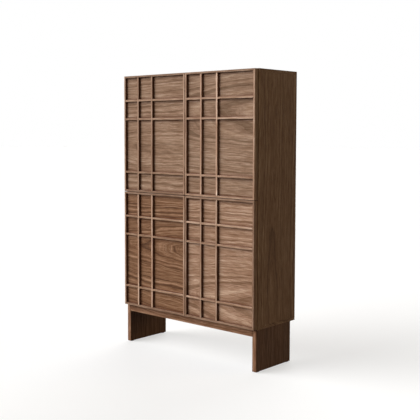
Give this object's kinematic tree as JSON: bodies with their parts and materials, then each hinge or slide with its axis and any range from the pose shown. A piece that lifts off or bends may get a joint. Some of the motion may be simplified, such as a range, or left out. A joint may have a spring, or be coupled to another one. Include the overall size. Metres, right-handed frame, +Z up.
{
  "type": "tall storage cabinet",
  "caption": "Tall walnut storage cabinet: flush doors with a raised asymmetric lattice over horizontal-grain panels, push latches and concealed hinges, on slab legs with an apron.",
  "frame": {"origin": "middle of the footprint on the floor, under the middle of the overall box", "axes": "+Z up, -Y out of the doors, +X to the right when facing the doors"},
  "size_m": [1.1, 0.406, 1.77],
  "materials": {
    "walnut_panel": "satin lacquered walnut veneer, grain across the door",
    "walnut_strip": "satin lacquered walnut, light face grain along each strip",
    "walnut_carcass": "satin lacquered walnut veneer",
    "walnut_base": "satin lacquered walnut",
    "back_board": "thin veneered back board",
    "beech": "bare beech",
    "nickel_steel": "nickel plated",
    "latch_plastic": "grey moulded plastic",
    "glide_plastic": "dark moulded plastic"
  },
  "bodies": {
    "carcass": {"leg_left": "walnut_base", "leg_right": "walnut_base", "apron_front": "walnut_base", "apron_rear": "walnut_base", "corner_blocks": "beech", "floor_glides": "glide_plastic", "carcass_tongues": "beech", "side_left": "walnut_carcass", "side_right": "walnut_carcass", "top_panel": "walnut_carcass", "bottom_panel": "walnut_carcass", "middle_deck": "walnut_carcass", "partition_upper": "walnut_carcass", "partition_lower": "walnut_carcass", "back_panel": "back_board", "shelf_lower_left": "walnut_carcass", "shelf_lower_right": "walnut_carcass", "shelf_upper_left": "walnut_carcass", "shelf_upper_right": "walnut_carcass", "hinge_plates": "nickel_steel", "hinge_arms": "nickel_steel", "latch_housings": "latch_plastic"},
    "door_lower_left": {"door_lower_left_panel": "walnut_panel", "door_lower_left_stiles": "walnut_strip", "door_lower_left_rails": "walnut_strip", "door_lower_left_uprights": "walnut_strip", "door_lower_left_crosses": "walnut_strip", "door_lower_left_hinge_cups": "nickel_steel", "door_lower_left_strike": "nickel_steel"},
    "plunger_lower_left": {"latch_plunger_lower_left": "latch_plastic"},
    "door_lower_right": {"door_lower_right_panel": "walnut_panel", "door_lower_right_stiles": "walnut_strip", "door_lower_right_rails": "walnut_strip", "door_lower_right_uprights": "walnut_strip", "door_lower_right_crosses": "walnut_strip", "door_lower_right_hinge_cups": "nickel_steel", "door_lower_right_strike": "nickel_steel"},
    "plunger_lower_right": {"latch_plunger_lower_right": "latch_plastic"},
    "door_upper_left": {"door_upper_left_panel": "walnut_panel", "door_upper_left_stiles": "walnut_strip", "door_upper_left_rails": "walnut_strip", "door_upper_left_uprights": "walnut_strip", "door_upper_left_crosses": "walnut_strip", "door_upper_left_hinge_cups": "nickel_steel", "door_upper_left_strike": "nickel_steel"},
    "plunger_upper_left": {"latch_plunger_upper_left": "latch_plastic"},
    "door_upper_right": {"door_upper_right_panel": "walnut_panel", "door_upper_right_stiles": "walnut_strip", "door_upper_right_rails": "walnut_strip", "door_upper_right_uprights": "walnut_strip", "door_upper_right_crosses": "walnut_strip", "door_upper_right_hinge_cups": "nickel_steel", "door_upper_right_strike": "nickel_steel"},
    "plunger_upper_right": {"latch_plunger_upper_right": "latch_plastic"}
  },
  "joints": [
    {"name": "door_lower_left_swing", "type": "hinge", "parent": "carcass", "child": "door_lower_left", "pos_m": [-0.542, -0.1803, 0.63325], "axis": [0, 0, -1], "range_deg": [0, 95]},
    {"name": "plunger_lower_left_slide", "type": "slide", "parent": "carcass", "child": "plunger_lower_left", "axis": [0, -1, 0], "range_m": [0, 0.012]},
    {"name": "door_lower_right_swing", "type": "hinge", "parent": "carcass", "child": "door_lower_right", "pos_m": [0.542, -0.1803, 0.63325], "axis": [0, 0, 1], "range_deg": [0, 95]},
    {"name": "plunger_lower_right_slide", "type": "slide", "parent": "carcass", "child": "plunger_lower_right", "axis": [0, -1, 0], "range_m": [0, 0.012]},
    {"name": "door_upper_left_swing", "type": "hinge", "parent": "carcass", "child": "door_upper_left", "pos_m": [-0.542, -0.1803, 1.39075], "axis": [0, 0, -1], "range_deg": [0, 95]},
    {"name": "plunger_upper_left_slide", "type": "slide", "parent": "carcass", "child": "plunger_upper_left", "axis": [0, -1, 0], "range_m": [0, 0.012]},
    {"name": "door_upper_right_swing", "type": "hinge", "parent": "carcass", "child": "door_upper_right", "pos_m": [0.542, -0.1803, 1.39075], "axis": [0, 0, 1], "range_deg": [0, 95]},
    {"name": "plunger_upper_right_slide", "type": "slide", "parent": "carcass", "child": "plunger_upper_right", "axis": [0, -1, 0], "range_m": [0, 0.012]}
  ],
  "couplings": [
    {"joint": "plunger_lower_left_slide", "follows": "door_lower_left_swing", "m_per_rad": 0.007237},
    {"joint": "plunger_lower_right_slide", "follows": "door_lower_right_swing", "m_per_rad": 0.007237},
    {"joint": "plunger_upper_left_slide", "follows": "door_upper_left_swing", "m_per_rad": 0.007237},
    {"joint": "plunger_upper_right_slide", "follows": "door_upper_right_swing", "m_per_rad": 0.007237}
  ]
}
